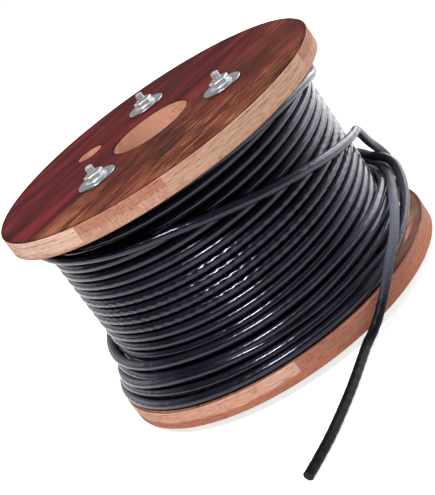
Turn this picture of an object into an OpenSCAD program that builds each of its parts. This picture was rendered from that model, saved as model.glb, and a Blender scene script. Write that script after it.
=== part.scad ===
// Reel of plastic-coated wire rope: two round plywood flanges drawn onto a paperboard barrel
// by three through bolts, with the rope wound between them and its free end on the floor.
// Millimetres, standing on the three bolt heads, +Z up along the reel's axis.

/* [Flanges] */
// Thickness of the plywood
flange_t = 14.5; // [9:0.5:18]
// Height of both flange rims above the full layers of rope
rim_height = 17.3; // [15:0.1:30]
// Width of the sanded chamfer round both rims
rim_chamfer = 0.8; // [0.3:0.1:2]
// Diameter of the arbor hole in the middle
bore_d = 60; // [40:1:74]
// Diameter of the driving hole in the upper flange
drive_hole_d = 20; // [10:1:24]
// Direction of the driving hole, in degrees
drive_hole_angle = 137; // [125:1:165]

/* [Barrel] */
// Outside diameter of the paperboard barrel
barrel_d = 161; // [140:1:200]
// Wall of the barrel
barrel_wall = 5; // [3:0.5:7]
// Depth of the grooves that the barrel stands in
groove_depth = 4; // [2:0.5:6]
// Clear width between the flanges
traverse = 133; // [110:1:170]

/* [Rope] */
// Diameter of the rope over its plastic coat
rope_d = 6.6; // [5:0.1:7.5]
// Gap left between neighbouring turns
turn_gap = 1; // [0.6:0.1:2.4]
// Full layers of rope on the barrel
full_layers = 5; // [2:1:9]
// Turns of the part layer beside the lower flange
part_layer_turns = 4; // [2:1:5]

/* [Bolts] */
// Diameter of the three through bolts
bolt_d = 6; // [5:0.2:8]
// Distance from the barrel's inner wall to the bolt centres
bolt_inset = 14.5; // [9:0.5:16]
// Direction of the first bolt, at the back, in degrees
bolt_1_angle = 84; // [70:1:95]
// Direction of the second bolt, at the front left, in degrees
bolt_2_angle = 218; // [200:1:230]
// Direction of the third bolt, at the front right, in degrees
bolt_3_angle = 333; // [325:1:345]
// Outside diameter of the wide washers
washer_d = 28.5; // [22:0.5:34]
// Thickness of the washers
washer_t = 1.6; // [1:0.1:2.5]
// Bolt end standing out of the nut
bolt_end = 5; // [2:0.2:9]

/* [Hidden] */

// fits
hole_clear = 0.5;
thread_clear = 0.06;
washer_clear = 0.2;
groove_clear = 0.3;
bed_clear = 0.2;
lie_clear = 0.6;
end_clear = 0.3;
drive_margin = 3;
nesting = 0.3;

// hexagon sizes follow the bolt
hex_across = 2.1 * bolt_d;
nut_h = 0.75 * bolt_d;
head_h = 0.69 * bolt_d;

// levels from the floor up
lower_z = head_h + washer_t;
inner_low = lower_z + flange_t;
inner_high = inner_low + traverse;
upper_z = inner_high + flange_t;
nut_z = upper_z + washer_t;
tip_z = nut_z + nut_h + bolt_end;

// positions on the flanges
barrel_inside = barrel_d / 2 - barrel_wall;
bolt_r = barrel_inside - bolt_inset;
drive_r = barrel_inside - drive_hole_d / 2 - drive_margin;

// layers of the winding from the lower flange up, each lying in the grooves of the one below
pitch = rope_d + turn_gap;
rise = sqrt(rope_d * rope_d - pitch * pitch / 4) - nesting;
turns = floor(traverse / pitch);
first_turn = inner_low + end_clear + rope_d / 2;
first_layer_r = barrel_d / 2 + bed_clear + rope_d / 2;
top_layer = full_layers - 1;
groove_drop = 0.3 * rope_d;

function layer_r(layer) = first_layer_r + layer * rise;
function turn_count(layer) = turns - layer % 2;
function turn_z(layer, turn) = first_turn + turn * pitch + (layer % 2) * pitch / 2;

// the flanges reach past the rope
flange_r = layer_r(top_layer) + rope_d / 2 + rim_height;

// where loose rope lies: on the full layers, on the part layer, over another strand there,
// and beside the lower flange, clear above the part layer, beside the upper flange
strand = rope_d + lie_clear;
part_top = turn_z(top_layer + 1, part_layer_turns - 1);
lie_r = [layer_r(top_layer) + strand, layer_r(top_layer + 1) + strand,
    layer_r(top_layer + 1) + 2 * strand];
lie_z = [inner_low + rope_d / 2 + lie_clear, part_top + strand + 4 * lie_clear,
    inner_high - rope_d / 2 - lie_clear];

// loose stretches as direction in degrees, and their place from 0 to 2 in lie_z and in lie_r
loose_stations = [
    [62, 0.99, 0], [46, 0.99, 0], [30, 0.99, 0], [16, 0.985, 0.05], [8, 0.97, 0.25],
    [2, 0.93, 0.6], [-3, 0.86, 1.5], [-8, 0.745, 1.97], [-13, 0.61, 1.97], [-19, 0.48, 1.87],
    [-28, 0.31, 1.63], [-38, 0.19, 1.5], [-49, 0.085, 1.48], [-61, 0.015, 1.58], [-75, 0, 1.63],
    [-90, 0, 1.63], [-107, 0, 1.62], [-124, 0, 1.6], [-141, 0, 1.58], [-158, 0.01, 1.59],
    [-175, 0.02, 1.65], [-192, 0.015, 1.67], [-209, 0, 1.57], [-226, 0, 1.4], [-244, 0, 1.2],
    [-263, 0, 1.07]
];
crossing_stations = [
    [-182, 1.985, 0], [-166, 1.965, 0], [-150, 1.925, 0], [-134, 1.88, 0], [-118, 1.83, 0],
    [-102, 1.78, 0], [-86, 1.7, 0], [-70, 1.61, 0], [-54, 1.525, 0], [-40, 1.45, 0.05],
    [-28, 1.39, 0.15], [-19, 1.35, 0.35], [-11.5, 1.315, 0.6], [-7, 1.235, 0.8],
    [-2.5, 1.14, 1.07], [1, 1.055, 1.4], [3.4, 0.93, 1.8], [4, 0.715, 2.07], [3.2, 0.505, 2.13],
    [2.4, 0.295, 2.07], [4, 0.105, 1.87], [10, 0.01, 1.7], [20, 0, 1.63], [36, 0, 1.6],
    [52, 0, 1.53], [68, 0, 1.4], [83, 0, 1.2], [96.6, 0, 1.07]
];

// free end of the rope: along the winding, over the lower rim, across the floor
tail_points = [
    [75.8, 88.8, 48.6], [97.8, 63.8, 48.6], [112, 32.7, 48.6], [116.6, 2, 48.6],
    [114.2, -24, 48.3], [109.5, -42, 47.5], [103, -60, 45], [96, -75, 41], [87.5, -88, 36],
    [78, -99, 31], [68, -109, 25], [58, -116.5, 18], [49, -121, 11.5], [40, -124.5, 6],
    [31, -131.5, 3.8], [22, -145, 3.5], [8, -167, 3.5], [-5.5, -186, 3.5], [-19, -203.5, 3.5],
    [-33, -219, 3.5], [-42, -228, 3.5]
];

tube_sides = 10;
fine = 180;
medium = 72;

function unit(v) = v / norm(v);
function bow(a, b, c, d, t) = 0.5 * (2 * b + (c - a) * t + (2 * a - 5 * b + 4 * c - d) * t * t
    + (3 * b - a - 3 * c + d) * t * t * t);
function pick(points, i) = points[max(0, min(len(points) - 1, i))];
function eased(points, steps) = concat(
    [for (i = [0 : len(points) - 2], s = [0 : steps - 1])
        bow(pick(points, i - 1), points[i], points[i + 1], pick(points, i + 2), s / steps)],
    [points[len(points) - 1]]);
function headings(route) = [for (i = [0 : len(route) - 1])
    unit(pick(route, i + 1) - pick(route, i - 1))];
function sides(ways, i, side) = i == len(ways) ? [] :
    let (next = unit(side - (side * ways[i]) * ways[i]))
    concat([next], sides(ways, i + 1, next));
function between(levels, place) = let (i = place < 1 ? 0 : 1)
    levels[i] + (place - i) * (levels[i + 1] - levels[i]);
function placed(station) = let (r = between(lie_r, station[2]))
    [r * cos(station[0]), r * sin(station[0]), between(lie_z, station[1])];

// one length of rope swept along a route
module rope_length(route) {
    ways = headings(route);
    across = sides(ways, 0, [0, 0, 1]);
    rings = len(route);
    skin = [for (i = [0 : rings - 1], k = [0 : tube_sides - 1]) let (turn = 360 * k / tube_sides)
        route[i] + rope_d / 2 * (cos(turn) * across[i] + sin(turn) * cross(ways[i], across[i]))];
    walls = [for (i = [0 : rings - 2], k = [0 : tube_sides - 1], half = [0, 1])
        let (a = i * tube_sides + k, b = i * tube_sides + (k + 1) % tube_sides)
        half == 0 ? [a, a + tube_sides, b + tube_sides] : [a, b + tube_sides, b]];
    start_cap = [[for (k = [0 : tube_sides - 1]) k]];
    end_cap = [[for (k = [tube_sides - 1 : -1 : 0]) (rings - 1) * tube_sides + k]];
    polyhedron(skin, concat(start_cap, walls, end_cap));
}

module at_bolt(angle, level) {
    translate([bolt_r * cos(angle), bolt_r * sin(angle), level])
        children();
}

// turned board with its outer face at zero and the barrel groove in its inner face
module flange_board() {
    groove_in = barrel_inside - groove_clear;
    groove_out = barrel_d / 2 + groove_clear;
    groove_floor = flange_t - groove_depth;
    difference() {
        rotate_extrude($fn = fine)
            polygon([
                [bore_d / 2, 0], [flange_r - rim_chamfer, 0], [flange_r, rim_chamfer],
                [flange_r, flange_t - rim_chamfer], [flange_r - rim_chamfer, flange_t],
                [groove_out, flange_t], [groove_out, groove_floor], [groove_in, groove_floor],
                [groove_in, flange_t], [bore_d / 2, flange_t]
            ]);
        for (angle = [bolt_1_angle, bolt_2_angle, bolt_3_angle])
            at_bolt(angle, -1)
                cylinder(d = bolt_d + 2 * hole_clear, h = flange_t + 2, $fn = medium);
    }
}

module lower_flange() {
    color("#a4552f")
        translate([0, 0, lower_z])
            flange_board();
}

module upper_flange() {
    color("#5a2a20")
        difference() {
            translate([0, 0, upper_z])
                mirror([0, 0, 1])
                    flange_board();
            rotate([0, 0, drive_hole_angle])
                translate([drive_r, 0, inner_high - 1])
                    cylinder(d = drive_hole_d, h = flange_t + 2, $fn = medium);
        }
}

module barrel() {
    color("#b08a5c")
        translate([0, 0, inner_low - groove_depth])
            difference() {
                cylinder(d = barrel_d, h = traverse + 2 * groove_depth, $fn = fine);
                translate([0, 0, -1])
                    cylinder(r = barrel_inside, h = traverse + 2 * groove_depth + 2, $fn = fine);
            }
}

// buried layers show their end turns beside the flanges, the top layers show every turn
module winding_outline() {
    low = turn_z(1, 0);
    high = turn_z(1, turn_count(1) - 1);
    full_r = layer_r(top_layer) - groove_drop;
    part_r = layer_r(top_layer + 1) - groove_drop;
    translate([barrel_d / 2 + bed_clear, low])
        square([full_r - barrel_d / 2 - bed_clear, high - low]);
    translate([full_r - 1, low])
        square([part_r - full_r + 1, part_top - low]);
    for (layer = [0 : top_layer - 1], turn = [0, turn_count(layer) - 1])
        translate([layer_r(layer), turn_z(layer, turn)])
            circle(d = rope_d, $fn = medium);
    for (turn = [0 : turn_count(top_layer) - 1])
        translate([layer_r(top_layer), turn_z(top_layer, turn)])
            circle(d = rope_d, $fn = medium);
    for (turn = [0 : part_layer_turns - 1])
        translate([layer_r(top_layer + 1), turn_z(top_layer + 1, turn)])
            circle(d = rope_d, $fn = medium);
}

module winding() {
    color("#15151c")
        rotate_extrude($fn = fine)
            winding_outline();
}

module loose_turn() {
    color("#1a1a22")
        rope_length([for (station = eased(loose_stations, 2)) placed(station)]);
}

module crossing_turn() {
    color("#1d1d26")
        rope_length([for (station = eased(crossing_stations, 2)) placed(station)]);
}

module rope_tail() {
    color("#202028")
        rope_length(eased(tail_points, 2));
}

// hexagon with both corners turned down, or only the outer ones
module hexagon(h, low_chamfer) {
    corner_r = hex_across / sqrt(3);
    drop = (corner_r - hex_across / 2) * 0.58;
    low_drop = low_chamfer ? drop : 0;
    low_r = low_chamfer ? hex_across / 2 : corner_r + 0.1;
    intersection() {
        cylinder(r = corner_r, h = h, $fn = 6);
        rotate_extrude($fn = medium)
            polygon([
                [0, 0], [low_r, 0], [corner_r + 0.1, low_drop + 0.05],
                [corner_r + 0.1, h - drop], [hex_across / 2, h], [0, h]
            ]);
    }
}

// hexagon head down on the floor, end chamfered above the nut
module bolt(angle) {
    color("#c9ccd0")
        at_bolt(angle, 0) {
            translate([0, 0, head_h])
                mirror([0, 0, 1])
                    hexagon(head_h, false);
            rotate_extrude($fn = medium)
                polygon([
                    [0, head_h - 0.5], [bolt_d / 2, head_h - 0.5], [bolt_d / 2, tip_z - 0.8],
                    [bolt_d / 2 - 0.8, tip_z], [0, tip_z]
                ]);
        }
}

module nut(angle) {
    color("#c3c6ca")
        at_bolt(angle, nut_z)
            difference() {
                hexagon(nut_h, true);
                translate([0, 0, -1])
                    cylinder(d = bolt_d + 2 * thread_clear, h = nut_h + 2, $fn = medium);
            }
}

module washer(angle, level) {
    color("#cfd2d5")
        at_bolt(angle, level)
            difference() {
                cylinder(d = washer_d, h = washer_t, $fn = medium);
                translate([0, 0, -1])
                    cylinder(d = bolt_d + 2 * washer_clear, h = washer_t + 2, $fn = medium);
            }
}

upper_flange();
lower_flange();
barrel();
winding();
loose_turn();
crossing_turn();
rope_tail();
bolt(bolt_1_angle);  // bolt_1
bolt(bolt_2_angle);  // bolt_2
bolt(bolt_3_angle);  // bolt_3
nut(bolt_1_angle);  // nut_1
nut(bolt_2_angle);  // nut_2
nut(bolt_3_angle);  // nut_3
washer(bolt_1_angle, upper_z);  // upper_washer_1
washer(bolt_2_angle, upper_z);  // upper_washer_2
washer(bolt_3_angle, upper_z);  // upper_washer_3
washer(bolt_1_angle, head_h);  // lower_washer_1
washer(bolt_2_angle, head_h);  // lower_washer_2
washer(bolt_3_angle, head_h);  // lower_washer_3
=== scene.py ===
import bpy
import math
from mathutils import Euler, Matrix, Vector


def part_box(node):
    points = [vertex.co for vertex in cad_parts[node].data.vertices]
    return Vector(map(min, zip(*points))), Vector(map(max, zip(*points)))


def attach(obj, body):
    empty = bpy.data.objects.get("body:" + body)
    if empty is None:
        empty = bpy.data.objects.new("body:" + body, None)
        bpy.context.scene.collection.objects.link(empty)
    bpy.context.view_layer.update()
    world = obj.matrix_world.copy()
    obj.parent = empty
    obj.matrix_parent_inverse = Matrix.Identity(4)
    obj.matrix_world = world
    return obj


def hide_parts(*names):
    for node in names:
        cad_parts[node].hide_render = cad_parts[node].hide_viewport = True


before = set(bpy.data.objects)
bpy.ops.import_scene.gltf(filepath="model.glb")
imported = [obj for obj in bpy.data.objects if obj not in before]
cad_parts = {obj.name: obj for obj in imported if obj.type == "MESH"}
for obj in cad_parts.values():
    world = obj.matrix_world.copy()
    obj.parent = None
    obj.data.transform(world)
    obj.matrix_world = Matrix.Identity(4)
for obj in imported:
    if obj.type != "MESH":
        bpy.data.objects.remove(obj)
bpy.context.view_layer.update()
scene = bpy.context.scene
scene.view_settings.view_transform = 'Standard'
print("frame loaded,", len(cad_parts), "nodes")

# camera, at the photograph's viewing angle
cameraSet = {
    "place": (0, -.94057, .37855), "turn": -.0115, "tilt": -.3172, "roll": -.6239, "lens": 103.03, "sensor": 36,
}

bpy.ops.object.camera_add(location=cameraSet["place"])
camera = bpy.context.object
level = Euler((math.pi / 2 + cameraSet["tilt"], 0, -cameraSet["turn"])).to_matrix()
camera.rotation_euler = (level @ Matrix.Rotation(cameraSet["roll"], 3, 'Z')).to_euler()
camera.data.sensor_fit = 'VERTICAL'
camera.data.sensor_height = cameraSet["sensor"]
camera.data.lens = cameraSet["lens"]
scene.camera = camera
print("camera placed")


def deselectAll():
    for thing in bpy.context.selected_objects:
        thing.select_set(False)


def makeActive(thing):
    deselectAll()
    thing.select_set(True)
    bpy.context.view_layer.objects.active = thing


def easedLine(stations, steps):  # a smooth line through the stations, whatever their numbers mean
    line = []
    count = len(stations)
    for i in range(count - 1):
        a, b, c, d = (Vector(stations[max(0, min(count - 1, i + k))]) for k in (-1, 0, 1, 2))
        for s in range(steps):
            t = s / steps
            line.append(.5 * (2 * b + (c - a) * t + (2 * a - 5 * b + 4 * c - d) * t ** 2
                              + (3 * b - a - 3 * c + d) * t ** 3))
    return line + [Vector(stations[-1])]


def aroundReel(station):  # angle in degrees, height and radius in millimetres
    angle = math.radians(station[0])
    return Vector((station[2] * math.cos(angle), station[2] * math.sin(angle), station[1])) / 1000


def lineLength(points):
    return sum((b - a).length for a, b in zip(points, points[1:]))


def evenPoints(points, step):  # the same line, walked in equal steps
    total = lineLength(points)
    count = max(2, round(total / step))
    even, walked, goal = [points[0]], 0, total / count
    for a, b in zip(points, points[1:]):
        run = (b - a).length
        while walked + run >= goal * len(even) and len(even) < count:
            even.append(a.lerp(b, (goal * len(even) - walked) / run))
        walked += run
    return even + [points[-1]]


# six outer strands show through the coat as low lobes, a turn every 50 mm
ropeSet = {"radius": .0033, "lay": .05, "step": .0028, "strayStep": .0022, "eased": 10}


def strandProfile(name, shape):  # one lobe's radii, in millimetres, repeated six times
    sides = 6 * len(shape)
    curve = bpy.data.curves.new(name, 'CURVE')
    curve.dimensions = '2D'
    ring = curve.splines.new('POLY')
    ring.points.add(sides - 1)
    ring.use_cyclic_u = True
    for i in range(sides):
        angle = -2 * math.pi * i / sides
        radius = shape[i % len(shape)] / 1000
        ring.points[i].co = (radius * math.cos(angle), radius * math.sin(angle), 0, 1)
    profile = bpy.data.objects.new(name, curve)
    scene.collection.objects.link(profile)
    return profile


def layRope(name, lines, profile, step):  # sweeps the profile along each line, turning with the lay
    curve = bpy.data.curves.new(name, 'CURVE')
    curve.dimensions = '3D'
    curve.bevel_mode = 'OBJECT'
    curve.bevel_object = profile
    curve.use_fill_caps = True
    curve.twist_mode = 'MINIMUM'
    for line in lines:
        points = evenPoints(line, step)
        spline = curve.splines.new('POLY')
        spline.points.add(len(points) - 1)
        walked = 0
        for i, point in enumerate(points):
            if i:
                walked += (point - points[i - 1]).length
            spline.points[i].co = (*point, 1)
            spline.points[i].tilt = 2 * math.pi * walked / ropeSet["lay"]
    rope = bpy.data.objects.new(name, curve)
    scene.collection.objects.link(rope)
    makeActive(rope)
    bpy.ops.object.convert(target='MESH')
    bpy.ops.object.mode_set(mode='EDIT')
    bpy.ops.mesh.select_all(action='SELECT')
    bpy.ops.mesh.remove_doubles(threshold=.00002)
    bpy.ops.mesh.normals_make_consistent(inside=False)
    bpy.ops.object.mode_set(mode='OBJECT')
    bpy.ops.object.shade_smooth_by_angle(angle=math.radians(60))
    return rope


plainProfile = strandProfile("plainProfile", (3.265, 3.3, 3.3))  # coat that nearly fills the valleys
ribbedProfile = strandProfile("ribbedProfile", (3.09, 3.235, 3.3, 3.235))  # coat drawn down into them
underProfile = strandProfile("underProfile", (3.25, 3.3))

# the free end: leaves the winding at the right shoulder, hangs over the lower flange and lies on the floor
tailSet = {
    "route": [(75.8, 88.8, 48.6), (97.8, 63.8, 48.6), (112, 32.7, 48.6), (116.6, 2, 48.6), (114.2, -24, 48.3),
              (109.5, -42, 47.5), (103, -60, 45), (96, -75, 41), (87.5, -88, 36), (78, -99, 31), (68, -109, 25),
              (58, -116.5, 18), (49, -121, 11.5), (40, -124.5, 6), (31, -131.5, 3.8), (22, -145, 3.5), (8, -167, 3.5),
              (-5.5, -186, 3.5), (-19, -203.5, 3.5), (-33, -219, 3.5), (-41.96, -227.96, 3.5)],
    "step": .0016,
}

tailLine = [point / 1000 for point in easedLine(tailSet["route"], 6)]
ropeTail = layRope("ropeTail", [tailLine], ribbedProfile, tailSet["step"])
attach(ropeTail, "root")
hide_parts("rope_tail")
print("tail laid,", round(lineLength(tailLine), 3), "m")

# the top layer as one helix: level at the front, rising to the right shoulder, climbing a turn behind
windingSet = {
    "radius": 104.39, "ropeDiameter": 6.6, "turnSteps": 180,
    "frontAngle": -105, "frontHeight": 29.8, "pitch": 7.55, "start": -1 + 60 / 360, "end": 16,
    "shoulder": 115, "rise": 11, "backAngle": 305, "backRise": 2.5, "lowest": 23.6, "highest": 149.9,
    "squeeze": .37, "squeezeFrom": 105.3, "squeezeOver": 37.75,
    "ribbedFrom": 5.9, "ribbedTo": 9.2,
    "underRadius": 98.1, "underStart": -.5, "underEnd": 15.6, "underLift": -1.5, "underStep": .006,
    "sagTrim": 6, "sagSteps": 12,
    "sagging": [(-117, 149.9, 104.39), (-105, 149.9, 104.39), (-90, 149.8, 104.9), (-70, 149.5, 108),
                (-52, 148.8, 110.9), (-40, 147.4, 111.3), (-28, 144.4, 111.5), (-17, 140.7, 111.6),
                (-5, 137.8, 111.9), (10, 136.2, 111.6), (40, 135.8, 111.2), (80, 137.5, 111), (120, 141.5, 111),
                (150, 145.3, 111.2), (178, 148.02, 111.59)],
}


def smoothStep(t):
    t = max(0, min(1, t))
    return t * t * (3 - 2 * t)


def turnHeight(turn):  # height in millimetres after so many turns from the front
    whole = math.floor(turn)
    swing = (turn - whole) * 360
    shoulder, rise, back, backRise = (windingSet[key] for key in ("shoulder", "rise", "backAngle", "backRise"))
    climb = smoothStep((swing - shoulder) / (back - shoulder))
    if swing < shoulder:
        wave = rise * (1 - math.cos(math.pi * swing / shoulder)) / 2
    elif swing < back:
        wave = rise + (backRise - rise) * climb
    else:
        wave = backRise * (1 - smoothStep((swing - back) / (360 - back)))
    base = windingSet["frontHeight"] + windingSet["pitch"] * (whole + climb)
    # less and less room under the upper flange
    squeezed = max(0, min(1, (base - windingSet["squeezeFrom"]) / windingSet["squeezeOver"]))
    share = 1 - windingSet["squeeze"] * squeezed
    return max(windingSet["lowest"], min(windingSet["highest"], base + share * wave))


def seatRadius(angle, height):  # where a strand rests on the top layer's turns
    swing = (angle - windingSet["frontAngle"]) % 360 / 360
    across = windingSet["ropeDiameter"]
    best = windingSet["radius"] + .65 * across
    for turn in range(-1, 16):
        if turn + swing < windingSet["start"]:
            continue
        off = abs(turnHeight(turn + swing) - height)
        if off < across:
            best = max(best, windingSet["radius"] + math.sqrt(across ** 2 - off ** 2))
    return best


def helixLine(fromTurn, toTurn, radius, lift=0):
    count = round((toTurn - fromTurn) * windingSet["turnSteps"])
    line = []
    for i in range(count + 1):
        turn = fromTurn + (toTurn - fromTurn) * i / count
        line.append(aroundReel((windingSet["frontAngle"] + 360 * turn, turnHeight(turn) + lift, radius)))
    return line


def topTurns(fromKey, toKey):
    return helixLine(windingSet[fromKey], windingSet[toKey], windingSet["radius"])


# past the last turn the rope climbs out, sags over the right shoulder and comes back up to start the crossing
def sagOut(line):
    sagging = easedLine(windingSet["sagging"], windingSet["sagSteps"])
    return line[:-windingSet["sagTrim"]] + [aroundReel(station) for station in sagging]


plainLow = layRope("woundRope", [topTurns("start", "ribbedFrom")], plainProfile, ropeSet["step"])
ribbed = layRope("ribbedTurns", [topTurns("ribbedFrom", "ribbedTo")], ribbedProfile, ropeSet["step"])
plainHigh = layRope("highTurns", [sagOut(topTurns("ribbedTo", "end"))], plainProfile, ropeSet["step"])
# the layer under it, a little clear of it, so that the gaps between turns aren't empty
underLine = helixLine(*(windingSet[key] for key in ("underStart", "underEnd", "underRadius", "underLift")))
under = layRope("underTurns", [underLine], underProfile, windingSet["underStep"])
print("top layer laid,", sum(len(piece.data.polygons) for piece in (plainLow, ribbed, plainHigh, under)), "faces")

# the part layer over it: angle, height, and how far each stretch is lifted off the turns below
partSet = {
    "turns": [(62, 59.7, 0), (80, 59.8, 0), (110, 59.6, 0), (140, 59, .1), (160, 57.8, 0), (175, 56, .3),
              (187, 53.6, 1.4), (197, 51.8, 1.8), (208, 50.6, 1.2), (219, 50, .4), (233, 49.5, 0), (248, 48.6, 0),
              (260, 48.2, 0), (277, 48.5, 0), (292, 49.7, 0), (307, 50.5, 0), (321, 50.1, 0), (333, 49.4, 0),
              (345, 48.7, 0), (360, 47.8, 0), (380, 46, 0), (400, 44.6, 0), (425, 44.1, 0), (460, 44.1, 0),
              (500, 44.1, .2), (525, 44.6, .8), (547, 44.4, 2), (567, 42, 1.2), (579, 41, .5), (593, 40.1, 0),
              (620, 39.2, 0), (637, 39.8, 0), (652, 41.6, 0), (671, 43.6, 0), (690, 43.3, 0), (705, 42.3, 0),
              (720, 40.8, 0), (738, 38.4, 0), (755, 36.9, 0), (780, 36.5, 0), (820, 36.5, 0), (860, 36.8, .6),
              (880, 37.2, 2.4), (895, 37.4, 4.4), (908, 37.6, 5.6), (922, 37.8, 5.2), (935, 38.5, 4.2),
              (948, 38.6, 3.2), (959, 37.4, 2.2), (969, 36.2, 1.2), (980, 34.7, .3), (992, 33.9, 0), (1005, 34, 0),
              (1022, 35.1, 0), (1038, 36, 0), (1054, 36.8, 0)],
    "tailLead": [(49.5, 49, 6.4), (60, 50.4, 5.6), (72, 51.4, 4.2), (88, 51.8, 1.8), (105, 51.7, .3),
                 (140, 51.6, 0), (160, 51.6, 0), (176, 51.4, 0)],
    "footTurn": [(-300, 30.2, 0), (-260, 30.2, 0), (-230, 30.2, .6), (-210, 30.2, 3), (-192, 30.6, 6),
                 (-175, 31, 7), (-158, 30.8, 5.4), (-141, 30.2, 4.4), (-124, 29.4, 4.4), (-107, 28.8, 4.6),
                 (-90, 28.6, 4.6), (-72, 28.6, 4.4), (-58, 28.2, 3.6), (-44, 26.6, 2.4), (-22, 24, 1.2),
                 (10, 23.7, 0), (40, 23.8, 0), (80, 23.8, 0), (120, 23.8, 0), (160, 23.8, 0), (190, 23.9, 0),
                 (215, 24, 0)],
}


def restingLine(stations):
    placed = [(angle, height, seatRadius(angle, height) + lift) for angle, height, lift in stations]
    return [aroundReel(station) for station in easedLine(placed, ropeSet["eased"])]


partLines = {name: restingLine(stations) for name, stations in partSet.items()}
partLines["tailLead"][0] = tailLine[0].copy()
partTurns = layRope("partTurns", [partLines["turns"]], plainProfile, ropeSet["step"])
looseEnds = layRope("tailLead", [partLines["tailLead"], partLines["footTurn"]], plainProfile, ropeSet["step"])

# two strands that left their place in the layer, as angle and places from 0 to 2 among these heights and radii
strayHeights = [24.14, 60.04, 149.34]
strayRadii = [111.58, 116.67, 123.85]
strayTurns = {
    "looseTurn": ("loose_turn", [
        (62, .99, 0), (46, .99, 0), (30, .99, 0), (16, .985, .05), (8, .97, .25), (2, .93, .6), (-3, .86, 1.5),
        (-8, .745, 1.97), (-13, .61, 1.97), (-19, .48, 1.87), (-28, .31, 1.63), (-38, .19, 1.5), (-49, .085, 1.48),
        (-61, .015, 1.58), (-75, 0, 1.63), (-90, 0, 1.63), (-107, 0, 1.62), (-124, 0, 1.6), (-141, 0, 1.58),
        (-158, .01, 1.59), (-175, .02, 1.65), (-192, .015, 1.67), (-209, 0, 1.57), (-226, 0, 1.4), (-244, 0, 1.2),
        (-263, 0, 1.07)]),
    "crossingTurn": ("crossing_turn", [
        (-182, 1.985, 0), (-166, 1.965, 0), (-150, 1.925, 0), (-134, 1.88, 0), (-118, 1.83, 0), (-102, 1.78, 0),
        (-86, 1.7, 0), (-70, 1.61, 0), (-54, 1.525, 0), (-40, 1.45, .05), (-28, 1.39, .15), (-19, 1.35, .35),
        (-11.5, 1.315, .6), (-7, 1.235, .8), (-2.5, 1.14, 1.07), (1, 1.055, 1.4), (3.4, .93, 1.8), (4, .715, 2.07),
        (3.2, .505, 2.13), (2.4, .295, 2.07), (4, .105, 1.87), (10, .01, 1.7), (20, 0, 1.63), (36, 0, 1.6),
        (52, 0, 1.53), (68, 0, 1.4), (83, 0, 1.2), (96.6, 0, 1.07)]),
}


def between(levels, place):
    low = min(1, int(place))
    return levels[low] + (levels[low + 1] - levels[low]) * (place - low)


def strayLine(stations):
    placed = [(angle, between(strayHeights, high), between(strayRadii, out)) for angle, high, out in stations]
    return [aroundReel(station) for station in easedLine(placed, ropeSet["eased"])]


strayRopes = {}
for name, (node, stations) in strayTurns.items():
    strayRopes[name] = layRope(name, [strayLine(stations)], plainProfile, ropeSet["strayStep"])
    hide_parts(node)
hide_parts("winding")
ropePieces = [ropeTail, plainLow, ribbed, plainHigh, under, partTurns, looseEnds, *strayRopes.values()]
for piece in ropePieces[1:]:
    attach(piece, "root")
for profile in (plainProfile, ribbedProfile, underProfile):
    bpy.data.objects.remove(profile)
print("part layer and stray turns laid")

# through bolts: hexagon head below, a screwed end standing out of each nut
boltSet = {
    "diameter": .006, "core": .0024, "across": .0126, "headHeight": .00414, "headRound": .0004, "tip": .17884,
    "turns": 5, "pitch": .0013, "ridgeHalf": .00062, "ridgeRoot": .0002, "plainEnd": .00064,
    "tipChamfer": .0003, "tipShare": .85, "sides": 28,
}
boltSet["threadFrom"] = boltSet["tip"] - boltSet["plainEnd"] - boltSet["turns"] * boltSet["pitch"]


def addCylinder(sides, radius, low, tall, turn=0):  # upright on the reel's axis
    deselectAll()
    bpy.ops.mesh.primitive_cylinder_add(vertices=sides, radius=radius, depth=tall, location=(0, 0, low + tall / 2),
                                        rotation=(0, 0, turn))
    made = bpy.context.object
    bpy.ops.object.transform_apply(location=True, rotation=True)
    return made


def pickFaces(thing, wanted):  # leaves edit mode on, with only the wanted faces selected
    makeActive(thing)
    bpy.ops.object.mode_set(mode='EDIT')
    bpy.ops.mesh.select_mode(type='FACE')
    bpy.ops.mesh.select_all(action='DESELECT')
    bpy.ops.object.mode_set(mode='OBJECT')
    for face in thing.data.polygons:
        face.select = wanted(face)
    bpy.ops.object.mode_set(mode='EDIT')


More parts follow.
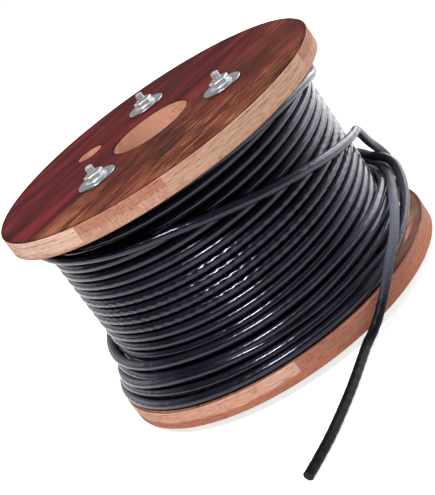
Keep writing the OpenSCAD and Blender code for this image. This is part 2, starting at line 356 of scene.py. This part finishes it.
def makeBolt(name):
    head = addCylinder(6, boltSet["across"] / math.sqrt(3), 0, boltSet["headHeight"], math.pi / 6)
    bpy.ops.object.mode_set(mode='EDIT')
    bpy.ops.mesh.select_all(action='SELECT')
    bpy.ops.mesh.bevel(offset=boltSet["headRound"], segments=2, affect='EDGES')
    bpy.ops.object.mode_set(mode='OBJECT')
    length = boltSet["threadFrom"] - boltSet["headHeight"]
    shank = addCylinder(boltSet["sides"], boltSet["diameter"] / 2, boltSet["headHeight"], length)
    pickFaces(shank, lambda face: face.normal.z > .9)
    thin, end = boltSet["core"] / (boltSet["diameter"] / 2), boltSet["tipShare"]
    screwed = boltSet["tip"] - boltSet["threadFrom"] - boltSet["tipChamfer"]
    bpy.ops.mesh.extrude_region_move(TRANSFORM_OT_translate={"value": (0, 0, 0)})
    bpy.ops.transform.resize(value=(thin, thin, 1), center_override=(0, 0, boltSet["threadFrom"]))
    bpy.ops.mesh.extrude_region_move(TRANSFORM_OT_translate={"value": (0, 0, screwed)})
    bpy.ops.mesh.extrude_region_move(TRANSFORM_OT_translate={"value": (0, 0, boltSet["tipChamfer"])})
    bpy.ops.transform.resize(value=(end, end, 1), center_override=(0, 0, boltSet["tip"]))
    bpy.ops.object.mode_set(mode='OBJECT')
    # the ridge: a small triangle screwed round the core
    deselectAll()
    bpy.ops.mesh.primitive_circle_add(vertices=3, radius=.0005, fill_type='NOTHING', location=(0, 0, 0))
    ridge = bpy.context.object
    root, half = boltSet["core"] - boltSet["ridgeRoot"], boltSet["ridgeHalf"]
    corners = [(root, -half), (boltSet["diameter"] / 2, 0), (root, half)]
    for vertex, (out, up) in zip(ridge.data.vertices, corners):
        vertex.co = (out, 0, boltSet["threadFrom"] + up)
    screw = ridge.modifiers.new("screw", 'SCREW')
    screw.axis = 'Z'
    screw.angle = 2 * math.pi
    screw.screw_offset = boltSet["pitch"]
    screw.iterations = boltSet["turns"]
    screw.steps = screw.render_steps = boltSet["sides"]
    screw.use_merge_vertices = False
    bpy.ops.object.modifier_apply(modifier="screw")
    bpy.ops.object.mode_set(mode='EDIT')
    bpy.ops.mesh.select_all(action='SELECT')
    bpy.ops.mesh.remove_doubles(threshold=.00001)
    bpy.ops.mesh.select_all(action='DESELECT')
    bpy.ops.mesh.select_mode(type='EDGE')
    bpy.ops.mesh.select_non_manifold()
    bpy.ops.mesh.fill()
    bpy.ops.mesh.select_all(action='SELECT')
    bpy.ops.mesh.normals_make_consistent(inside=False)
    bpy.ops.object.mode_set(mode='OBJECT')
    deselectAll()
    for part in (head, shank, ridge):
        part.select_set(True)
    bpy.context.view_layer.objects.active = shank
    bpy.ops.object.join()
    shank.name = name
    bpy.ops.object.shade_smooth_by_angle(angle=math.radians(35))
    return shank


# nuts: a hexagon with its upper edges turned down, standing in a low coned skirt, bored for the bolt
nutSet = {
    "across": .0126, "low": .16934, "high": .17384, "chamfer": .0006, "round": .0001, "sunk": .0002,
    "skirt": .0082, "skirtHeight": .0012, "skirtEdge": .0004, "bore": .00306, "sides": 48,
}


def makeNut(name):
    base = nutSet["low"] + nutSet["sunk"]
    tall = nutSet["high"] - base
    flats = addCylinder(6, nutSet["across"] / math.sqrt(3), base, tall, math.pi / 6)
    pickFaces(flats, lambda face: face.normal.z > .99)
    slim = 1 - 2 * nutSet["chamfer"] / nutSet["across"]
    bpy.ops.transform.translate(value=(0, 0, -nutSet["chamfer"]))
    bpy.ops.mesh.extrude_region_move(TRANSFORM_OT_translate={"value": (0, 0, nutSet["chamfer"])})
    bpy.ops.transform.resize(value=(slim, slim, 1), center_override=(0, 0, nutSet["high"]))
    bpy.ops.mesh.select_all(action='SELECT')
    bpy.ops.mesh.bevel(offset=nutSet["round"], segments=2, affect='EDGES')
    bpy.ops.object.mode_set(mode='OBJECT')
    skirt = addCylinder(nutSet["sides"], nutSet["skirt"], nutSet["low"], nutSet["skirtEdge"])
    pickFaces(skirt, lambda face: face.normal.z > .99)
    rise = nutSet["skirtHeight"] - nutSet["skirtEdge"]
    narrow = nutSet["across"] / 2 / nutSet["skirt"]
    bpy.ops.mesh.extrude_region_move(TRANSFORM_OT_translate={"value": (0, 0, rise)})
    bpy.ops.transform.resize(value=(narrow, narrow, 1), center_override=(0, 0, nutSet["low"] + nutSet["skirtHeight"]))
    bpy.ops.object.mode_set(mode='OBJECT')
    bore = addCylinder(nutSet["sides"], nutSet["bore"], nutSet["low"] - 2 * tall, 4 * tall)
    for other, how in ((skirt, 'UNION'), (bore, 'DIFFERENCE')):
        makeActive(flats)
        cut = flats.modifiers.new("cut", 'BOOLEAN')
        cut.operation = how
        cut.object = other
        cut.solver = 'EXACT'
        bpy.ops.object.modifier_apply(modifier=cut.name)
        bpy.data.objects.remove(other)
    makeActive(flats)
    bpy.ops.object.mode_set(mode='EDIT')
    bpy.ops.mesh.select_all(action='SELECT')
    bpy.ops.mesh.remove_doubles(threshold=.00001)
    bpy.ops.mesh.dissolve_degenerate(threshold=.00001)
    bpy.ops.object.mode_set(mode='OBJECT')
    flats.name = name
    bpy.ops.object.shade_smooth_by_angle(angle=math.radians(25))
    return flats


# washers: wide and thin, pressed with a rounded edge
washerSet = {"radius": .01425, "thick": .0016, "hole": .0032, "round": .0006, "sides": 72}


def makeWasher(name):
    washer = addCylinder(washerSet["sides"], washerSet["radius"], -washerSet["thick"] / 2, washerSet["thick"])
    pickFaces(washer, lambda face: abs(face.normal.z) > .9)
    bpy.ops.mesh.bevel(offset=washerSet["round"], segments=3, affect='EDGES')
    bpy.ops.object.mode_set(mode='OBJECT')
    pickFaces(washer, lambda face: abs(face.normal.z) > .99 and len(face.vertices) > 8)
    bpy.ops.mesh.inset(thickness=washerSet["radius"] - washerSet["round"] - washerSet["hole"])
    bpy.ops.mesh.bridge_edge_loops()
    bpy.ops.mesh.select_all(action='SELECT')
    bpy.ops.mesh.remove_doubles(threshold=.000001)
    bpy.ops.mesh.normals_make_consistent(inside=False)
    bpy.ops.object.mode_set(mode='OBJECT')
    washer.name = name
    bpy.ops.object.shade_smooth_by_angle(angle=math.radians(40))
    return washer


def placeOn(node, level):  # the node's middle, at the floor for a piece that was made at its own height
    low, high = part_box(node)
    middle = (Vector(low) + Vector(high)) / 2
    return middle if level else Vector((middle.x, middle.y, 0))


fastenerSet = {
    "throughBolt": (makeBolt, ["bolt_1", "bolt_2", "bolt_3"], False),
    "hexNut": (makeNut, ["nut_1", "nut_2", "nut_3"], False),
    "wideWasher": (makeWasher, [side + "_washer_" + number for side in ("upper", "lower") for number in "123"], True),
}
fasteners = []
for name, (make, nodes, level) in fastenerSet.items():
    copies = [make(name + "1")]
    for number in range(2, len(nodes) + 1):
        copy = copies[0].copy()
        copy.data = copies[0].data.copy()
        copy.name = name + str(number)
        scene.collection.objects.link(copy)
        copies.append(copy)
    for copy, node in zip(copies, nodes):
        copy.data.transform(Matrix.Translation(placeOn(node, level)))
        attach(copy, "root")
        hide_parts(node)
    print(name, "made,", len(copies[0].data.polygons), "faces each")
    fasteners += copies


def hexColour(code):  # sRGB hex to linear
    parts = [int(code[i:i + 2], 16) / 255 for i in (1, 3, 5)]
    return tuple(p / 12.92 if p <= .04045 else ((p + .055) / 1.055) ** 2.4 for p in parts) + (1,)


def addNode(tree, kind, ins=None, stops=None, **settings):
    made = tree.nodes.new(kind)
    for name, value in settings.items():
        setattr(made, name, value)
    for socket, value in (ins or {}).items():
        if isinstance(value, bpy.types.NodeSocket):
            tree.links.new(value, made.inputs[socket])
        else:
            made.inputs[socket].default_value = value
    if stops:
        ramp = made.color_ramp.elements
        while len(ramp) < len(stops):
            ramp.new(.5)
        for stop, (place, colour) in zip(ramp, stops):
            stop.position = place
            stop.color = hexColour(colour) if isinstance(colour, str) else (colour, colour, colour, 1)
    return made


def calc(tree, operation, *terms):
    return addNode(tree, 'ShaderNodeMath', dict(enumerate(terms)), operation=operation)


def remap(tree, value, fromLow, fromHigh, toLow, toHigh):
    return addNode(tree, 'ShaderNodeMapRange', {0: value, 1: fromLow, 2: fromHigh, 3: toLow, 4: toHigh})


def blend(tree, factor, one, other, how='MIX'):  # its colour is output 2
    return addNode(tree, 'ShaderNodeMix', {'Factor': factor, 6: one, 7: other}, data_type='RGBA', blend_type=how)


def colours(tree, value, stops):
    return addNode(tree, 'ShaderNodeValToRGB', {0: value}, stops=stops)


def choose(tree, factor, one, other):  # between two plain values
    return addNode(tree, 'ShaderNodeMix', {'Factor': factor, 2: one, 3: other}, data_type='FLOAT')


def noise(tree, place, size, detail, rough=.5):
    return addNode(tree, 'ShaderNodeTexNoise', {
        'Vector': place.outputs[0], 'Scale': 1 / size, 'Detail': detail, 'Roughness': rough})


def away(tree, place, spot):  # how far off a spot
    return addNode(tree, 'ShaderNodeVectorMath', {0: place.outputs[0], 1: spot}, operation='DISTANCE')


def turned(tree, place, degrees):
    return addNode(tree, 'ShaderNodeVectorRotate', {
        0: place.outputs[0], 'Angle': math.radians(degrees)}, rotation_type='Z_AXIS')


def inMillimetres(tree):
    place = addNode(tree, 'ShaderNodeTexCoord')
    return addNode(tree, 'ShaderNodeVectorMath', {0: place.outputs['Object'], 'Scale': 1000}, operation='SCALE')


def newMaterial(name):
    material = bpy.data.materials.new(name)
    material.use_nodes = True
    tree = material.node_tree
    return material, tree, tree.nodes["Principled BSDF"]


def dress(thing, material):
    thing.data.materials.clear()
    thing.data.materials.append(material)


# plasticised vinyl coat over galvanised strand: black with a cool cast, glossy, slightly uneven from the die;
# drawn greyer at both sides, most at the right, as a painted sheen; the free end is scuffed duller by handling,
# grey with dust where it hangs, and its wires show through as ribs 2 mm apart (finer in truth), with painted shade
# between them
coatSet = {
    "glossyVinylCoat": {"pieces": ropePieces[1:], "tints": ("#12131b", "#1c1d28"), "gloss": (.15, .27),
                        "specular": .45, "wave": .4, "dust": 0, "sides": .4, "ribs": 0, "dustAndSheenGrey": "#5c5e6b"},
    "scuffedVinylCoat": {"pieces": [ropeTail], "tints": ("#0c0d10", "#16171a"), "gloss": (.38, .5),
                         "specular": .1, "wave": .6, "dust": .9, "sides": 0, "ribs": 1, "dustAndSheenGrey": "#797b88"},
}
ribWay = (.036, -.967, -.252)  # from rib to rib, at a slant to the free end
for name, coat in coatSet.items():
    material, tree, shader = newMaterial(name)
    mm = inMillimetres(tree)
    patches = noise(tree, mm, 14, 3, .6)
    dust = noise(tree, mm, 1.6, 4, .7)
    dents = noise(tree, mm, 7, 1)
    tint = colours(tree, patches.outputs[0], [(.3, coat["tints"][0]), (.7, coat["tints"][1])])
    split = addNode(tree, 'ShaderNodeSeparateXYZ', {0: mm.outputs[0]})
    raised = remap(tree, split.outputs[2], 16, 44, 0, coat["dust"])
    toFront = remap(tree, split.outputs[1], 65, 5, 0, 1)
    dustAndSheenShare = calc(tree, 'MULTIPLY', raised.outputs[0], toFront.outputs[0])
    # painted sheen: the coat is drawn greyer towards both sides, most at the right
    shifted = calc(tree, 'ADD', split.outputs[0], 15)
    outward = calc(tree, 'ABSOLUTE', shifted.outputs[0])
    paintedSideSheen = remap(tree, outward.outputs[0], 62, 104, 0, coat["sides"])
    dustAndSheenShare = calc(tree, 'MAXIMUM', dustAndSheenShare.outputs[0], paintedSideSheen.outputs[0])
    along = addNode(tree, 'ShaderNodeVectorMath', {0: mm.outputs[0], 1: ribWay}, operation='DOT_PRODUCT')
    ribs = calc(tree, 'SINE', calc(tree, 'MULTIPLY', along.outputs['Value'], math.pi).outputs[0])
    # painted shade: on the free end the grey is darker in the valleys between the ribs
    ribValleyShade = remap(tree, ribs.outputs[0], -1, 1, 1 - .35 * coat["ribs"], 1)
    dustAndSheenShare = calc(tree, 'MULTIPLY', dustAndSheenShare.outputs[0], ribValleyShade.outputs[0])
    coatWithDustAndSheen = blend(tree, dustAndSheenShare.outputs[0], tint.outputs[0], hexColour(coat["dustAndSheenGrey"]))
    tree.links.new(coatWithDustAndSheen.outputs[2], shader.inputs['Base Color'])
    gloss = remap(tree, dust.outputs[0], .35, .75, coat["gloss"][0], coat["gloss"][1])
    tree.links.new(gloss.outputs[0], shader.inputs['Roughness'])
    uneven = calc(tree, 'MULTIPLY_ADD', ribs.outputs[0], .025 * coat["ribs"], dents.outputs[0])
    wave = addNode(tree, 'ShaderNodeBump', {'Height': uneven.outputs[0], 'Strength': coat["wave"], 'Distance': .001})
    tree.links.new(wave.outputs[0], shader.inputs['Normal'])
    shader.inputs['IOR'].default_value = 1.54
    shader.inputs['Specular IOR Level'].default_value = coat["specular"]
    shader.inputs['Specular Tint'].default_value = hexColour("#e6e6ff")
    for piece in coat["pieces"]:
        dress(piece, material)
print("rope coats done")

# zinc plated steel: bright and faintly blue, with a fine mottle from the plating bath; the washers are duller
zincSet = {
    "brightZincSteel": {"pieces": fasteners[:6], "tints": ("#bfc3c8", "#eceef1"), "gloss": (.38, .24), "metallic": .62},
    "dullZincAndShadedNutTops": {"pieces": fasteners[6:], "tints": ("#93999f", "#b9bfc5"), "gloss": (.4, .26), "metallic": .9},
}
for name, zinc in zincSet.items():
    material, tree, shader = newMaterial(name)
    mm = inMillimetres(tree)
    mottle = noise(tree, mm, 2.4, 4, .65)
    tint = colours(tree, mottle.outputs[0], [(.3, zinc["tints"][0]), (.7, zinc["tints"][1])])
    tree.links.new(tint.outputs[0], shader.inputs['Base Color'])
    gloss = remap(tree, mottle.outputs[0], .3, .7, zinc["gloss"][0], zinc["gloss"][1])
    tree.links.new(gloss.outputs[0], shader.inputs['Roughness'])
    shader.inputs['Metallic'].default_value = zinc["metallic"]
    ripple = addNode(tree, 'ShaderNodeBump', {'Height': mottle.outputs[0], 'Strength': .12, 'Distance': .0002})
    tree.links.new(ripple.outputs[0], shader.inputs['Normal'])
    for piece in zinc["pieces"]:
        dress(piece, material)
# the nuts' upper faces take the washers' duller zinc, its darker tint there a painted shade
for nut in fasteners[3:6]:
    nut.data.materials.append(bpy.data.materials["dullZincAndShadedNutTops"])
    for face in nut.data.polygons:
        face.material_index = int(face.normal.z > .99)
print("zinc done")

# spiral wound paperboard tube: dull brown, with the slanting seams of its plies
paperboard, tree, shader = newMaterial("spiralPaperboard")
mm = inMillimetres(tree)
split = addNode(tree, 'ShaderNodeSeparateXYZ', {0: mm.outputs[0]})
angle = calc(tree, 'ARCTAN2', split.outputs[1], split.outputs[0])
slant = calc(tree, 'MULTIPLY_ADD', angle.outputs[0], 95 / (2 * math.pi), split.outputs[2])
ply = calc(tree, 'FLOORED_MODULO', slant.outputs[0], 95)
seam = remap(tree, ply.outputs[0], 0, 1.2, .55, 1)
fibre = noise(tree, mm, 2, 5, .7)
tint = colours(tree, fibre.outputs[0], [(.3, "#8a6a4a"), (.7, "#a8865f")])
dark = blend(tree, 1, tint.outputs[0], seam.outputs[0], 'MULTIPLY')
tree.links.new(dark.outputs[2], shader.inputs['Base Color'])
shader.inputs['Roughness'].default_value = .85
ripple = addNode(tree, 'ShaderNodeBump', {'Height': fibre.outputs[0], 'Strength': .3, 'Distance': .0003})
tree.links.new(ripple.outputs[0], shader.inputs['Normal'])
dress(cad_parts["barrel"], paperboard)
print("paperboard done")

# stained blockboard: faces dark red-brown with an open diagonal grain, sawn edges bare and pale,
# made of strips that show long grain or end grain, between a thin face veneer and the stain's dark edge
plywoodSet = {
    "upper": {"node": "upper_flange", "low": 153.24, "high": 167.74, "veneer": 2.7,
              "strips": [(0, "#f9d6c3"), (.147, "#d09881"), (.234, "#dfbaa4"), (.4, "#c39884"),
                         (.55, "#cfa890"), (.69, "#d19d86"), (.84, "#e8c3ac")],
              "endGrain": [(0, 0), (.147, 1), (.234, 0), (.4, .8), (.55, 0), (.69, 1), (.84, 0)],
              "veneerTint": "#dfae92", "shift": 0, "driveLine": .45, "paler": .75,
              # its underside, towards the rope, is painted dark as shade
              "insideFrom": 153.54, "insideTo": 153.44, "inside": ["#1d1210", "#2a1b18", "#382520"]},
    "lower": {"node": "lower_flange", "low": 5.74, "high": 20.24, "veneer": 5.6,
              "strips": [(0, "#f2c0a8"), (.2, "#f4ccb8"), (.233, "#ca8f7c"), (.41, "#c59684"),
                         (.56, "#cf9a7f"), (.7, "#e2b297"), (.87, "#d39c82")],
              "endGrain": [(0, .45), (.2, .2), (.233, .5), (.41, .2), (.56, 1), (.7, 0), (.87, .7)],
              "veneerTint": "#d08b72", "shift": 40, "driveLine": 1, "paler": .2,
              "insideFrom": 19.94, "insideTo": 20.04, "inside": ["#a87362", "#cc947f", "#e2b49e"]},
}
stainSet = {"red": ["#2d0f11", "#541a1c", "#7c272b"], "brown": ["#2b120e", "#56261d", "#7a392a"], "fleck": "#b87250"}
# length and width of each pattern in millimetres, then its detail and, on the edge, roughness
grainSet = {
    "turn": 28,
    "edge": {"longGrain": (34, 1.5, 5, .62), "crossGrain": (1.7, 4.5, 5, .7), "dashes": (7, .9, 3, .65)},
    "face": {"streaks": (44, 3.2, 4), "bands": (110, 24, 3), "clouds": (60, 34, 2),
             "flecks": (24, 1.2, 3), "pores": (14, 1.2, 2)},
}
wearSet = {"corner": (-92, -60), "cornerFlecks": .11, "side": (98, -20), "sideFlecks": -.15, "rimFlecks": .05}
jointSet = {"turn": 36, "off": 28.85, "dark": .42, "fadeFrom": -30, "fadeTo": 5}
flangeSet = {"radius": 125, "driveHole": (-45.7, 42.6)}


def flangeMaterial(name, board):
    material, tree, shader = newMaterial(name)
    mm = inMillimetres(tree)
    split = addNode(tree, 'ShaderNodeSeparateXYZ', {0: mm.outputs[0]})
    flat = addNode(tree, 'ShaderNodeCombineXYZ', {0: split.outputs[0], 1: split.outputs[1], 2: board["shift"]})
    plan = addNode(tree, 'ShaderNodeCombineXYZ', {0: split.outputs[0], 1: split.outputs[1]})
    radius = addNode(tree, 'ShaderNodeVectorMath', {0: plan.outputs[0]}, operation='LENGTH')
    angle = calc(tree, 'ARCTAN2', split.outputs[1], split.outputs[0])
    share = calc(tree, 'MULTIPLY_ADD', angle.outputs[0], .5 / math.pi, .5)
    arc = calc(tree, 'MULTIPLY', angle.outputs[0], flangeSet["radius"])
    # sawn edge: strips, long grain lines about 1.5 mm apart, end grain in short upright flecks, saw dashes
    strips = colours(tree, share.outputs[0], board["strips"])
    strips.color_ramp.interpolation = 'CONSTANT'
    ends = colours(tree, share.outputs[0], board["endGrain"])
    ends.color_ramp.interpolation = 'CONSTANT'
    longGrain, crossGrain, dashes = [
        addNode(tree, 'ShaderNodeTexNoise', {
            'Vector': addNode(tree, 'ShaderNodeCombineXYZ', {
                0: calc(tree, 'MULTIPLY', arc.outputs[0], 1 / long).outputs[0],
                1: calc(tree, 'MULTIPLY', split.outputs[2], 1 / tall).outputs[0],
                2: radius.outputs['Value']}).outputs[0],
            'Scale': 1, 'Detail': detail, 'Roughness': rough})
        for long, tall, detail, rough in grainSet["edge"].values()]
    grain = choose(tree, ends.outputs[0], longGrain.outputs[0], crossGrain.outputs[0])
    depth = colours(tree, grain.outputs[0], [(.3, "#8f6f62"), (.44, "#e2d4cd"), (.7, "#ffffff")])
    wander = calc(tree, 'MULTIPLY_ADD', longGrain.outputs[0], 3, split.outputs[2])
    middle = (board["low"] + board["high"]) / 2 + 1.5
    lowerPly = remap(tree, wander.outputs[0], middle + .6, middle - .6, 0, board["paler"])
    lowerPly = calc(tree, 'MULTIPLY', lowerPly.outputs[0], ends.outputs[0])
    plies = blend(tree, lowerPly.outputs[0], strips.outputs[0], hexColour("#e3bda8"))
    core = blend(tree, .8, plies.outputs[2], depth.outputs[0], 'MULTIPLY')
    sawDashes = colours(tree, dashes.outputs[0], [(.3, "#93695a"), (.42, "#eee3dd"), (.6, "#ffffff")])
    glueLine = board["low"] + board["veneer"]
    inVeneer = remap(tree, wander.outputs[0], glueLine + 1.1, glueLine + 1.9, 1, 0)
    veneerTone = blend(tree, .7, hexColour(board["veneerTint"]), depth.outputs[0], 'MULTIPLY')
    edgeTone = blend(tree, inVeneer.outputs[0], core.outputs[2], veneerTone.outputs[2])
    edgeTone = blend(tree, .75, edgeTone.outputs[2], sawDashes.outputs[0], 'MULTIPLY')
    # bored walls keep a plain orange tan, drawn paler than the wood as painted light falling into the bore
    bored = remap(tree, radius.outputs['Value'], 100, 100.5, 1, 0)
    boredToneAndLight = blend(tree, .6, hexColour("#ffc0a4"), depth.outputs[0], 'MULTIPLY')
    sawnTone = blend(tree, bored.outputs[0], edgeTone.outputs[2], boredToneAndLight.outputs[2])
    # stained face: grain at 28 degrees; crimson with soft broad bands behind, brown with short light flecks in front,
    # flecks and pores drawn twice as coarse as in the real wood so that they show
    along = turned(tree, flat, -grainSet["turn"])
    streaks, bands, clouds, flecks, pores = [
        addNode(tree, 'ShaderNodeTexNoise', {
            'Vector': addNode(tree, 'ShaderNodeVectorMath', {
                0: along.outputs[0], 1: (1 / long, 1 / wide, 1)}, operation='MULTIPLY').outputs[0],
            'Scale': 1, 'Detail': detail, 'Roughness': .6, 'Distortion': .15})
        for long, wide, detail in grainSet["face"].values()]
    broad = calc(tree, 'MULTIPLY', bands.outputs[0], .75)
    softTone = calc(tree, 'MULTIPLY_ADD', streaks.outputs[0], .25, broad.outputs[0])
    cloudy = calc(tree, 'MULTIPLY', clouds.outputs[0], .45)
    openTone = calc(tree, 'MULTIPLY_ADD', streaks.outputs[0], .55, cloudy.outputs[0])
    red = colours(tree, softTone.outputs[0], list(zip((.36, .5, .64), stainSet["red"])))
    brown = colours(tree, openTone.outputs[0], list(zip((.36, .5, .64), stainSet["brown"])))
    # handling wore the front half through to pale flecks, most along the rim and at the front left, least at the right
    rimWear = remap(tree, radius.outputs['Value'], 80, 122, 0, wearSet["rimFlecks"])
    worn = away(tree, flat, (*wearSet["corner"], board["shift"]))
    cornerWear = remap(tree, worn.outputs['Value'], 12, 52, wearSet["cornerFlecks"], 0)
    rubbed = away(tree, flat, (*wearSet["side"], board["shift"]))
    sideWear = remap(tree, rubbed.outputs['Value'], 8, 66, wearSet["sideFlecks"], 0)
    spotWear = calc(tree, 'ADD', sideWear.outputs[0], cornerWear.outputs[0])
    wear = calc(tree, 'ADD', rimWear.outputs[0], spotWear.outputs[0])
    wornFlecks = calc(tree, 'ADD', flecks.outputs[0], wear.outputs[0])
    patchy = calc(tree, 'MULTIPLY_ADD', bands.outputs[0], .5, wornFlecks.outputs[0])
    fleckTone = remap(tree, patchy.outputs[0], .8, .9, 0, .8)
    flecked = blend(tree, fleckTone.outputs[0], brown.outputs[0], hexColour(stainSet["fleck"]))
    across = addNode(tree, 'ShaderNodeSeparateXYZ', {0: along.outputs[0]})
    border = calc(tree, 'MULTIPLY_ADD', clouds.outputs[0], 26, across.outputs[1])
    browner = remap(tree, border.outputs[0], 2, -9, 0, 1)
    stain = blend(tree, browner.outputs[0], red.outputs[0], flecked.outputs[2])
    poreDark = remap(tree, pores.outputs[0], .3, .44, .5, 1)
    stained = blend(tree, browner.outputs[0], stain.outputs[2], poreDark.outputs[0], 'MULTIPLY')
    # dark line where the stain soaked into the cut edges of the face
    rimLine = remap(tree, radius.outputs['Value'], 121.5, 124.3, 1, .36)
    boreLine = remap(tree, radius.outputs['Value'], 32, 30.5, 1, .45)
    lines = calc(tree, 'MULTIPLY', rimLine.outputs[0], boreLine.outputs[0])
    drive = away(tree, flat, (*flangeSet["driveHole"], board["shift"]))
    driveLine = remap(tree, drive.outputs['Value'], 11.6, 10.3, 1, board["driveLine"])
    lines = calc(tree, 'MULTIPLY', lines.outputs[0], driveLine.outputs[0])
    # and along the veneer's joint, which runs in from the front left
    joint = addNode(tree, 'ShaderNodeSeparateXYZ', {0: turned(tree, flat, -jointSet["turn"]).outputs[0]})
    jointOff = calc(tree, 'ABSOLUTE', calc(tree, 'ADD', joint.outputs[1], jointSet["off"]).outputs[0])
    jointDark = remap(tree, jointOff.outputs[0], .5, 2, jointSet["dark"], 1)
    jointEnd = remap(tree, joint.outputs[0], jointSet["fadeFrom"], jointSet["fadeTo"], 0, 1)
    jointLine = calc(tree, 'MAXIMUM', jointDark.outputs[0], jointEnd.outputs[0])
    lines = calc(tree, 'MULTIPLY', lines.outputs[0], jointLine.outputs[0])
    # the side towards the rope has its own colour: bare wood on the lower flange, and on the upper flange a dark
    # painted shade
    bareWoodAndShade = colours(tree, openTone.outputs[0], list(zip((.36, .5, .64), board["inside"])))
    inside = remap(tree, split.outputs[2], board["insideFrom"], board["insideTo"], 0, 1)
    faceTone = blend(tree, inside.outputs[0], stained.outputs[2], bareWoodAndShade.outputs[0])
    faceTone = blend(tree, 1, faceTone.outputs[2], lines.outputs[0], 'MULTIPLY')
    # which is which, by height: the stain ends on the rim's chamfer
    upperFace = remap(tree, split.outputs[2], board["high"] - .45, board["high"] - .3, 0, 1)
    lowerFace = remap(tree, split.outputs[2], board["low"] + .45, board["low"] + .3, 0, 1)
    isFace = calc(tree, 'MAXIMUM', upperFace.outputs[0], lowerFace.outputs[0])
    colour = blend(tree, isFace.outputs[0], sawnTone.outputs[2], faceTone.outputs[2])
    tree.links.new(colour.outputs[2], shader.inputs['Base Color'])
    faceGloss = remap(tree, streaks.outputs[0], .3, .7, .5, .66)
    gloss = choose(tree, isFace.outputs[0], .68, faceGloss.outputs[0])
    tree.links.new(gloss.outputs[0], shader.inputs['Roughness'])
    faceHeight = calc(tree, 'MULTIPLY_ADD', streaks.outputs[0], .5, poreDark.outputs[0])
    height = choose(tree, isFace.outputs[0], grain.outputs[0], faceHeight.outputs[0])
    shader.inputs['Specular IOR Level'].default_value = .04
    relief = addNode(tree, 'ShaderNodeBump', {'Height': height.outputs[0], 'Strength': .3, 'Distance': .0004})
    tree.links.new(relief.outputs[0], shader.inputs['Normal'])
    return material


for name, board in plywoodSet.items():
    dress(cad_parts[board["node"]], flangeMaterial(name + "StainedBlockboard", board))
print("flanges stained")

# white floor that keeps the shadow, dimmer where the rope mirrors it, and a pale studio round it
bpy.ops.mesh.primitive_plane_add(size=9, location=(0, 0, 0))
floor = bpy.context.object
floor.name = "floor"
floorPaint, tree, shader = newMaterial("whiteFloor")
shader.inputs['Base Color'].default_value = hexColour("#e6e6e6")
shader.inputs['Roughness'].default_value = .9
shader.inputs['Specular IOR Level'].default_value = 0
rays = addNode(tree, 'ShaderNodeLightPath')
mirrored = calc(tree, 'MULTIPLY', rays.outputs['Is Glossy Ray'], .7)
seen = calc(tree, 'MAXIMUM', rays.outputs['Is Camera Ray'], mirrored.outputs[0])
seen = calc(tree, 'MAXIMUM', seen.outputs[0], rays.outputs['Is Transmission Ray'])
glow = calc(tree, 'MULTIPLY', seen.outputs[0], .8)
tree.links.new(glow.outputs[0], shader.inputs['Emission Strength'])
shader.inputs['Emission Color'].default_value = (1, 1, 1, 1)
dress(floor, floorPaint)

world = bpy.data.worlds.new("studio")
scene.world = world
world.use_nodes = True
tree = world.node_tree
backdrop = tree.nodes["Background"]
toward = addNode(tree, 'ShaderNodeSeparateXYZ', {0: addNode(tree, 'ShaderNodeTexCoord').outputs['Generated']})
sideways = calc(tree, 'MULTIPLY_ADD', toward.outputs[0], .65, toward.outputs[1])
depthways = remap(tree, sideways.outputs[0], -1.2, 1.2, 0, 1)
studio = colours(tree, depthways.outputs[0], [(0, .03), (.3, .04), (.5, .06), (.64, .24), (.82, .48)])
rays = addNode(tree, 'ShaderNodeLightPath')
seen = calc(tree, 'MAXIMUM', rays.outputs['Is Camera Ray'], rays.outputs['Is Transmission Ray'])
behind = blend(tree, seen.outputs[0], studio.outputs[0], (1, 1, 1, 1))
tree.links.new(behind.outputs[2], backdrop.inputs['Color'])
backdrop.inputs['Strength'].default_value = 1

# soft boxes round the reel, all turned to its middle
lampSet = {
    "keyLight": {"angle": -117, "height": 59, "far": 2.6, "size": (.58, .35), "power": 66},
    "rightPanel": {"angle": 28, "height": 12, "far": 1.3, "size": (1.5, .9), "power": 16},
    "leftPanel": {"angle": 135, "height": 20, "far": 1.3, "size": (.9, .6), "power": 1.6},
    "topLight": {"angle": -90, "height": 77, "far": 1.8, "size": (1.6, .3), "power": 5},
}
aimHeight = .085


def addSoftBox(name, angle, height, far, size, power):
    around, up = math.radians(angle), math.radians(height)
    out = math.cos(up) * far
    spot = Vector((out * math.cos(around), out * math.sin(around), aimHeight + far * math.sin(up)))
    bpy.ops.object.light_add(type='AREA', location=spot)
    lamp = bpy.context.object
    lamp.name = name
    lamp.data.shape = 'RECTANGLE'
    lamp.data.size, lamp.data.size_y = size
    lamp.data.energy = power
    lamp.rotation_euler = (Vector((0, 0, aimHeight)) - spot).to_track_quat('-Z', 'Y').to_euler()


for name, lamp in lampSet.items():
    addSoftBox(name, **lamp)
print("studio set")
